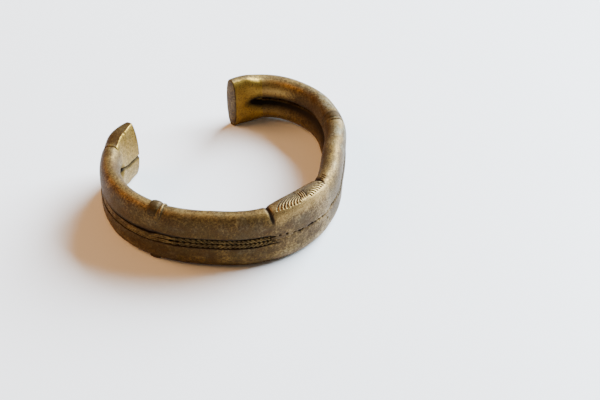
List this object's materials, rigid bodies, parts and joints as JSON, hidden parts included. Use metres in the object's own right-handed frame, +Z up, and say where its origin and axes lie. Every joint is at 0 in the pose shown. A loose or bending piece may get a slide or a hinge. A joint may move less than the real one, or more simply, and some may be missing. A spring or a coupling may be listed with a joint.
{
  "type": "bangle bracelet",
  "caption": "Open cuff bracelet in aged brass: paired rounded rails with twisted cords in the channel between them, binding rings, an engraved middle and solid tips.",
  "frame": {"origin": "under the middle of the cuff's footprint, on the surface it stands on", "axes": "+Z up out of that surface; +X along the widest part of the cuff; the engraved middle faces -Y and the opening faces +Y"},
  "size_m": [0.0694, 0.0562, 0.0177],
  "materials": {
    "rail_brass": "worn cast brass with a dark olive-brown patina",
    "engraved_brass": "worn brass with fine engraved strokes and grey-green patina",
    "terminal_brass": "brass rubbed bright inside, brown patina outside",
    "ring_brass": "worn brass with bright rubbed edges",
    "cord_brass": "dark twisted brass wire, worn on its crests"
  },
  "bodies": {
    "root": {"upper_left_rail": "rail_brass", "upper_right_rail": "rail_brass", "lower_left_rail": "rail_brass", "lower_right_rail": "rail_brass", "upper_engraved_block": "engraved_brass", "lower_middle_block": "engraved_brass", "left_terminal": "terminal_brass", "right_terminal": "terminal_brass", "upper_left_broad_ring": "ring_brass", "upper_left_narrow_ring": "ring_brass", "upper_right_broad_ring": "ring_brass", "upper_right_narrow_ring": "ring_brass", "lower_left_broad_ring": "ring_brass", "lower_left_narrow_ring": "ring_brass", "lower_right_broad_ring": "ring_brass", "lower_right_narrow_ring": "ring_brass", "left_upper_cord_strand_1": "cord_brass", "left_upper_cord_strand_2": "cord_brass", "left_lower_cord_strand_1": "cord_brass", "left_lower_cord_strand_2": "cord_brass", "right_upper_cord_strand_1": "cord_brass", "right_upper_cord_strand_2": "cord_brass", "right_lower_cord_strand_1": "cord_brass", "right_lower_cord_strand_2": "cord_brass"}
  },
  "joints": []
}
